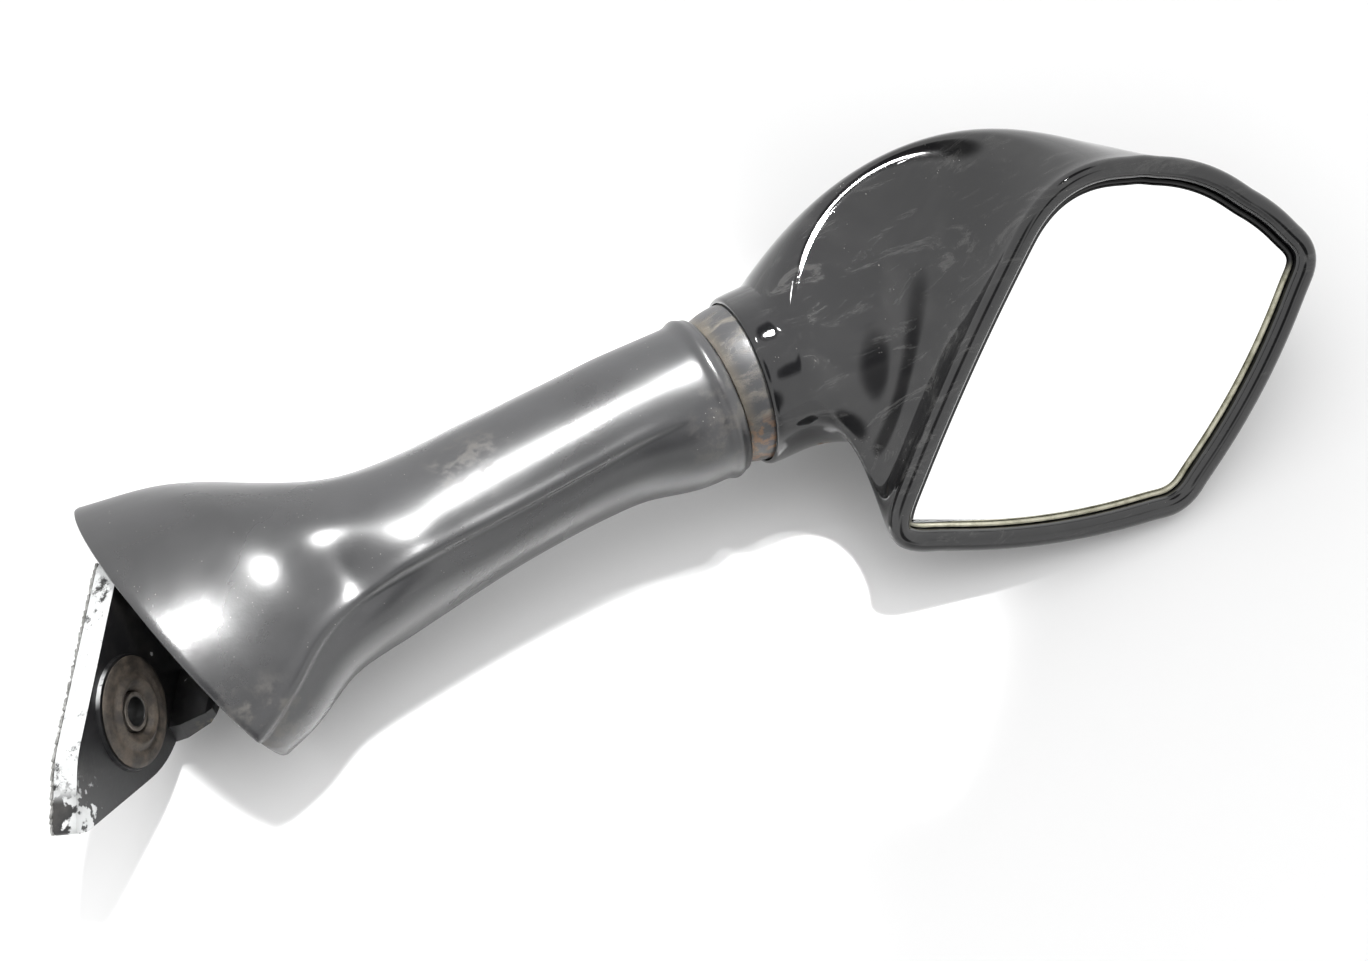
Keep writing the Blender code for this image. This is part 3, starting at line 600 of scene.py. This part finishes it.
def corner_arcs(corners):
    """(start, corner, end) of the arc that rounds each corner of a closed outline."""
    arcs = []
    count = len(corners)
    for i in range(count):
        x, y, radius = corners[i]
        here = np.array((x, y))
        before = np.array(corners[i - 1][:2]) - here
        after = np.array(corners[(i + 1) % count][:2]) - here
        before /= np.linalg.norm(before)
        after /= np.linalg.norm(after)
        reach = radius / math.tan(math.acos(float(before @ after)) / 2)
        arcs.append((here + before * reach, here, here + after * reach))
    return arcs


def on_arc(arc, u):
    start, here, end = arc
    return start * (1 - u) ** 2 + here * 2 * u * (1 - u) + end * u * u


def evenly(points, count):
    """The same closed outline, divided into equal lengths."""
    lengths = np.linalg.norm(np.roll(points, -1, 0) - points, axis=1)
    travelled = np.concatenate(([0], np.cumsum(lengths)))
    at = np.linspace(0, travelled[-1], count, endpoint=False)
    closed = np.vstack((points, points[:1]))
    return np.stack([np.interp(at, travelled, closed[:, k]) for k in (0, 1)], axis=1)


def rim_outline():
    """Outline of the head in the rim plane: corner arcs joined by sides that bow outwards."""
    dense = []
    arcs = corner_arcs(RIM_CORNERS)
    for i, arc in enumerate(arcs):
        dense += [on_arc(arc, k / SIDE_STEPS) for k in range(SIDE_STEPS)]
        end = arc[2]
        side = arcs[(i + 1) % len(arcs)][0] - end
        length = np.linalg.norm(side)
        across = np.array((side[1], -side[0])) / length
        for k in range(SIDE_STEPS):
            u = k / SIDE_STEPS
            dense.append(end + side * u + across * SIDE_BOWS[i] * length * 4 * u * (1 - u))
    return evenly(smooth_loop(np.array(dense), 3), HEAD_POINTS)


def smooth_loop(points, times):
    for _ in range(times):
        points = (np.roll(points, 1, 0) + points * 2 + np.roll(points, -1, 0)) / 4
    return points


def inset_outline(points, distance):
    """Moves a flat closed outline inwards along its own normals."""
    ahead, behind = np.roll(points, -1, 0), np.roll(points, 1, 0)
    along = ahead - behind
    along /= np.linalg.norm(along, axis=1)[:, None]
    inward = np.stack((-along[:, 1], along[:, 0]), axis=1)
    return points + inward * distance


def on_rim(points, depth):
    """Places rim-plane points in the world, `depth` out of the plane."""
    up, out = rim_axes()
    return [RIM_CENTRE + Vector((x, 0, 0)) + up * y + out * depth for x, y in points]


def neck_turn(i):
    """Angle round the neck, from +Y towards +Z, of point i of a head loop."""
    return NECK_START + 2 * math.pi * i / HEAD_POINTS


def lip_shift(turn):
    """The lip's plane leans: it stands further along X on the upper back side."""
    return LIP_SHIFT + LIP_TILT * NECK_RADIUS * math.cos(turn - LIP_LEAN_TOWARDS)


def neck_point(x, radius, turn):
    y = BALL.y + radius * math.cos(turn)
    z = BALL.z + radius * math.sin(turn)
    return Vector((x + lip_shift(turn), y, z))


def rim_flow(outward, out):
    """Direction in which a rib reaches the rim: flared below, bulging above."""
    low = max(0.0, -outward.z)
    high = max(0.0, outward.z) * min(1.0, max(0.0, 1.25 - 1.6 * outward.x))
    flare = 0.15 + 0.75 * low + RIM_FLARE * high
    return (out + outward * flare).normalized()


def shell_ribs(inset=0.0):
    """Loops from the neck's lip to the rim; each rib is one Hermite curve."""
    up, out = rim_axes()
    outline = rim_outline()
    rim = on_rim(inset_outline(outline, inset), RIB_END_DEPTH)
    centre2d = outline.mean(axis=0)
    loops = []
    neck_x = LIP_X + LIP_RUN
    radius = NECK_RADIUS - inset
    for step in range(RIB_STEPS + 1):
        u = step / RIB_STEPS
        h1, h2 = 2 * u**3 - 3 * u**2 + 1, u**3 - 2 * u**2 + u
        loop = []
        for i in range(HEAD_POINTS):
            turn = neck_turn(i)
            ring = neck_point(neck_x, radius, turn)
            end = rim[i]
            reach = (end - ring).length
            flat = Vector((*(outline[i] - centre2d), 0)).normalized()
            outward = Vector((flat.x, 0, 0)) + up * flat.y
            back = rim_flow(outward, out)
            t0 = (Vector((1, 0, 0)) + up * NECK_FLARE * max(0.0, outward.dot(up))) * reach * RIB_START_PULL
            t1 = back * reach * RIB_END_PULL
            point = ring * h1 + t0 * h2 + end * (1 - h1) + t1 * (u**3 - u**2)
            loop.append(flattened(point, u, inset))
        loops.append(loop)
    return loops


def flattened(point, along, inset):
    """Presses the crown of the shell towards a slanting plane, with a soft turn at its edges."""
    over = (point.dot(CROWN_NORMAL) - CROWN_LEVEL + inset) / CROWN_SOFT
    press = CROWN_SOFT * (math.log1p(math.exp(over)) if over < 30.0 else over)
    return point - CROWN_NORMAL * press * 16.0 * (along * (1.0 - along)) ** 2


def rim_bead():
    """(inset, depth) round the rolled rim, over the front and down the inner wall."""
    half = RIM_WIDTH / 2
    points = []
    for i in range(BEAD_STEPS + 1):
        a = math.pi * i / BEAD_STEPS
        points.append((half - half * math.cos(a), -0.0030 + 0.0030 * math.sin(a)))
    return points + [(RIM_WIDTH, depth) for depth in (-0.0045, -0.0060, -0.0075)]


def neck_loop(x, radius):
    return [neck_point(x, radius, neck_turn(i)) for i in range(HEAD_POINTS)]


def make_shell(outline, paint):
    """Neck lip, outer skin, rolled rim, inner skin and the neck's bore, as one closed skin."""
    seat = COLLAR_SPHERE + 0.0004
    lip = [neck_loop(LIP_X + along, radius) for along, radius in LIP_PROFILE]
    bead = [on_rim(inset_outline(outline, inset), depth) for inset, depth in rim_bead()]
    inner = shell_ribs(SHELL_WALL)[1:-1][::-INNER_SKIP]
    bore = [neck_loop(BALL.x + 0.0085, seat - 0.0004), neck_loop(BALL.x + 0.0050, seat - 0.0001)]
    bore += [neck_loop(BALL.x, seat), neck_loop(LIP_X, seat)]
    loops = lip + shell_ribs()[:-1] + bead + inner + bore
    add_piece("head_shell", loops, paint, "head", ("head_housing",))


def make_glass(outline, glass):
    edge = inset_outline(outline, RIM_WIDTH + GLASS_CLEAR)
    face = ((0.0, -GLASS_DEPTH - GLASS_THICK), (0.0, -GLASS_DEPTH - 0.0003), (0.0004, -GLASS_DEPTH))
    loops = [on_rim(inset_outline(edge, inset), depth) for inset, depth in face]
    add_piece("glass_pane", loops, glass, "head", ("mirror_glass",), caps=True, smooth=20.0)


def make_seal(outline, seal):
    low, high = -GLASS_DEPTH - 0.0016, -GLASS_DEPTH + 0.0006
    near, middle, far = RIM_WIDTH + 0.0004, RIM_WIDTH + 0.0009, RIM_WIDTH + 0.0014
    corners = ((near, low), (near, high), (middle, high + 0.0002), (far, high), (far, low))
    loops = [on_rim(inset_outline(outline, inset), depth) for inset, depth in corners]
    add_piece("seal_bead", loops, seal, "head", ("glass_seal",))


# ---------------------------------------------------------------- boot


def soft_step(value):
    return 1 / (1 + math.exp(-4.0 * value))


def boot_factor(turn, x):
    """Radius factor: full above the crease, a ledge at it, then drawn in towards the underside."""
    degrees = math.degrees(turn)
    past = degrees - blend(CREASE_DEGREES, x)
    ledge = blend(CREASE_LEDGE, x)
    back = soft_step((UNDERSIDE_END - degrees) / UNDERSIDE_SOFT)
    draw = min(1.0, max(0.0, past / DRAW_WIDTH))
    draw = draw * draw * (3 - 2 * draw)
    ridge = ledge * 0.30 * math.exp(-(((past + 4.0) / 4.5) ** 2))
    return 1.0 + ridge - (ledge * soft_step(past / 2.6) + blend(SIDE_DRAW, x) * draw) * back


def boot_dents(turn, x):
    """Height of the soft wall's hollows and swellings near the waist, in metres."""
    total = 0.0
    for place, angle, length, width, height in BOOT_DENTS:
        along = (x - place) / length
        aside = (math.degrees(turn) - angle) / width
        total += height * math.exp(-(along**2) - aside**2)
    return total


def boot_loop(x, inset=0.0):
    """Section of the boot at x, leaning more and more towards the slant of its mouth."""
    across, height = blend(BOOT_ACROSS, x), blend(BOOT_HEIGHT, x)
    y0, z0 = blend(STAY_Y, x), blend(STAY_Z, x)
    fade = blend(MOUTH_FADE, x)
    lean_y = -math.tan(MOUTH_HEADING) * fade
    lean_z = -math.tan(FOOT_LEAN) / math.cos(MOUTH_HEADING) * fade
    place, width, thick = BOOT_BEAD
    bead = thick * math.exp(-(((x - place) / width) ** 2))
    loop = []
    for i in range(BOOT_POINTS):
        turn = 2 * math.pi * (i + 0.5) / BOOT_POINTS
        factor = boot_factor(turn, x)
        grow = bead - inset + boot_dents(turn, x)
        y = (across * factor + grow) * math.cos(turn)
        z = (height * factor + grow) * math.sin(turn)
        loop.append((x + lean_y * y + lean_z * z, y0 + y, z0 + z))
    return loop


def make_boot(rubber):
    places = list(np.linspace(MOUTH_X + 0.0012, 0.186, 90)) + list(np.linspace(0.1875, BOOT_END - 0.0006, 22))
    outer = [boot_loop(MOUTH_X + 0.0001, 0.0009), boot_loop(MOUTH_X + 0.0004, 0.0003)]
    outer += [boot_loop(x) for x in places]
    outer.append(boot_loop(BOOT_END, 0.0005))
    inner = [boot_loop(x, BOOT_WALL) for x in np.linspace(MOUTH_X + 0.0004, BOOT_END, 60)]
    loops = outer + inner[::-1]
    add_piece("boot_skin", loops, rubber, "stay", ("rubber_boot",), smooth=50.0)


def make_gasket(pad):
    """Gasket with a ragged, frayed edge all round."""
    axes = foot_axes()
    outline = smooth_loop(gasket_outline(), 1)
    centre = outline.mean(axis=0)
    loops = []
    for level, size in GASKET_LEVELS:
        loop = []
        for k, (x, y) in enumerate(outline):
            fray = 0.00055 * math.sin(k * 1.9) * math.cos(k * 0.37)
            fray += 0.00035 * math.sin(k * 0.71 + level * 9000.0)
            away = Vector((x - centre[0], y - centre[1]))
            spot = Vector(centre) + away * size + away.normalized() * (fray - 0.0004)
            loop.append(axes[0] * spot.x + axes[1] * spot.y + axes[2] * level)
        loops.append(loop)
    hole = []
    for level in (GASKET_LEVELS[-1][0], GASKET_LEVELS[0][0]):
        loop = []
        for x, y in outline:
            turn = math.atan2(y, x)
            spoke = axes[0] * math.cos(turn) + axes[1] * math.sin(turn)
            loop.append(spoke * GASKET_HOLE + axes[2] * level)
        hole.append(loop)
    add_piece("gasket_sheet", loops + hole, pad, "foot", ("foot_gasket",), smooth=30.0)


def gasket_outline():
    """Leaf shape in the foot's plane, evenly divided: x across the plate, y along it."""
    points = []
    for arc in corner_arcs(GASKET_CORNERS):
        points += [on_arc(arc, k / CORNER_STEPS) for k in range(CORNER_STEPS + 1)]
    return evenly(np.array(points), GASKET_POINTS)


def ball_arc(radius, start, end, steps):
    """(along, radius) points on a ball, from one place along its axis to another."""
    places = [start + (end - start) * i / steps for i in range(steps + 1)]
    return [(place, math.sqrt(radius**2 - place**2)) for place in places]


def make_collar(satin):
    profile = [(-0.0230, 0.0094), (-0.0230, 0.0198), (-0.0100, 0.0198), (-0.0098, 0.0204)]
    profile += ball_arc(COLLAR_SPHERE, -0.0096, 0.0045, 20)
    profile += ball_arc(COLLAR_SPHERE - COLLAR_WALL, 0.0045, -0.0085, 10)
    profile += [(-0.0098, 0.0178), (-0.0205, 0.0178), (-0.0205, 0.0094)]
    axes = (Vector((0, 1, 0)), Vector((0, 0, 1)), Vector((1, 0, 0)))
    loops = turned(profile, BALL, axes, COLLAR_POINTS)
    add_piece("collar_band", loops, satin, "stay", ("collar_ring",))


# ---------------------------------------------------------------- foot


def foot_axes():
    """Across the foot, along it, and out of its mounting face."""
    level = math.cos(FOOT_LEAN)
    lean = Vector((level * math.cos(FOOT_HEADING), level * math.sin(FOOT_HEADING), math.sin(FOOT_LEAN)))
    long_way = Vector((0, 0, 1)).cross(lean).normalized()
    return long_way.cross(lean), long_way, lean


def make_foot_trim(rubber, steel):
    axes = foot_axes()
    top = BOSS_TOP + TRIM_LIFT
    washer = [
        (TRIM_BASE, GROMMET_BORE),
        (top - 0.0006, GROMMET_BORE),
        (top + 0.0001, 0.0068),
        (top + 0.0015, 0.0078),
        (top + 0.0020, 0.0090),
        (top + 0.0010, 0.0102),
        (top + 0.0006, 0.0110),
        (top + 0.0009, 0.0126),
        (top + 0.0008, 0.0146),
        (top + 0.0004, GROMMET_RADIUS),
        (top, GROMMET_RADIUS),
        (top, GROMMET_NECK),
        (TRIM_BASE, GROMMET_NECK),
    ]
    loops = turned(rounded(washer, 0.0004), Vector(), axes, TRIM_POINTS)
    add_piece("grommet_ring", loops, rubber, "foot", ("foot_grommet",))
    low, high = 0.0006, top + 0.0006
    sleeve = [(low, SLEEVE_INNER), (high, SLEEVE_INNER), (high, SLEEVE_OUTER), (low, SLEEVE_OUTER)]
    loops = turned(rounded(sleeve, 0.0003), Vector(), axes, TRIM_POINTS)
    add_piece("steel_sleeve", loops, steel, "foot", ("foot_collar",))


# ---------------------------------------------------------------- stage, light and camera


def area_light(name, place, target, size, energy, spread):
    """Softbox aimed at a target; a small spread keeps its light off what lies beside it."""
    lamp = bpy.data.lights.new(name, "AREA")
    lamp.shape = "RECTANGLE"
    lamp.size, lamp.size_y = size
    lamp.energy = energy
    lamp.spread = math.radians(spread)
    made = bpy.data.objects.new(name, lamp)
    bpy.context.scene.collection.objects.link(made)
    made.location = place
    made.rotation_euler = (Vector(target) - Vector(place)).to_track_quat("-Z", "Y").to_euler()


def make_world():
    """Evenly bright room with soft-edged dark patches, which the gloss paint reflects."""
    world = bpy.data.worlds.new("studio")
    bpy.context.scene.world = world
    world.use_nodes = True
    tree = world.node_tree
    background = tree.nodes["Background"]
    place = tree.nodes.new("ShaderNodeTexCoord")
    level = None
    for centre, inner, outer, dark in DARK_PATCHES:
        facing = tree.nodes.new("ShaderNodeVectorMath")
        facing.operation = "DOT_PRODUCT"
        tree.links.new(place.outputs["Generated"], facing.inputs[0])
        facing.inputs[1].default_value = Vector(centre).normalized()
        fall = tree.nodes.new("ShaderNodeMapRange")
        fall.interpolation_type = "SMOOTHSTEP"
        tree.links.new(facing.outputs["Value"], fall.inputs["Value"])
        fall.inputs["From Min"].default_value = math.cos(math.radians(outer))
        fall.inputs["From Max"].default_value = math.cos(math.radians(inner))
        fall.inputs["To Min"].default_value = ROOM_LIGHT
        fall.inputs["To Max"].default_value = dark
        if level is None:
            level = fall.outputs["Result"]
            continue
        least = tree.nodes.new("ShaderNodeMath")
        least.operation = "MINIMUM"
        tree.links.new(level, least.inputs[0])
        tree.links.new(fall.outputs["Result"], least.inputs[1])
        level = least.outputs[0]
    tree.links.new(level, background.inputs["Strength"])
    background.inputs["Color"].default_value = (1.0, 1.0, 1.0, 1.0)


def make_stage():
    mesh = bpy.data.meshes.new("floor")
    bm = bmesh.new()
    bmesh.ops.create_circle(bm, cap_ends=True, segments=96, radius=FLOOR_RADIUS)
    bm.to_mesh(mesh)
    bm.free()
    pale = Nodes("pale_floor").finish((0.93, 0.93, 0.93), 0.22, Coat_Weight=0.3, Coat_Roughness=0.08)
    mesh.materials.append(pale)
    floor = bpy.data.objects.new("floor", mesh)
    floor.location.z = CAD_BOX[0][2] - FLOOR_GAP
    bpy.context.scene.collection.objects.link(floor)


def make_camera():
    lens = bpy.data.cameras.new("camera")
    lens.lens = 60.0
    lens.sensor_width = 36.0
    lens.clip_start = 0.01
    made = bpy.data.objects.new("camera", lens)
    bpy.context.scene.collection.objects.link(made)
    level = math.cos(VIEW_ELEVATION)
    back = Vector((math.sin(VIEW_AZIMUTH) * level, -math.cos(VIEW_AZIMUTH) * level, math.sin(VIEW_ELEVATION)))
    made.location = VIEW_TARGET + back * VIEW_DISTANCE
    made.rotation_euler = back.to_track_quat("Z", "Y").to_euler()
    bpy.context.scene.camera = made


# ---------------------------------------------------------------- build


def dress(node, finish):
    """Gives a CAD node that stays visible a material of its own."""
    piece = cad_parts[node]
    piece.data.materials.clear()
    piece.data.materials.append(finish)


def make_head(paint, glass, seal):
    outline = rim_outline()
    make_shell(outline, paint)
    make_glass(outline, glass)
    make_seal(outline, seal)


def build():
    iron = cast_paint()
    steel = worn_steel("zinc_steel", (0.46, 0.44, 0.41), (0.22, 0.20, 0.18))
    plastic = nylon()
    make_head(gloss_paint(), mirror_face(), seal_strip())
    make_boot(boot_rubber())
    make_collar(satin_band())
    grommet = rough_rubber("grommet_rubber", (0.022, 0.018, 0.015), (0.085, 0.068, 0.052))
    make_foot_trim(grommet, sleeve_steel())
    for node in ("foot_bracket", "stay_arm"):
        dress(node, iron)
    make_gasket(rough_rubber("gasket_felt", (0.16, 0.16, 0.15), (0.46, 0.46, 0.45), 300.0))
    for node in STEEL_NODES:
        dress(node, steel)
    dress("fold_spring", worn_steel("spring_steel", (0.26, 0.26, 0.27), (0.12, 0.12, 0.12), 0.2))
    dress("socket_cup", cast_alloy())
    for node in ("pivot_ring", "mount_ring", "carrier_plate"):
        dress(node, plastic)


build()
make_stage()
make_world()
for lamp in LAMPS:
    area_light(*lamp)
make_camera()
bpy.context.scene.view_settings.view_transform = "Standard"
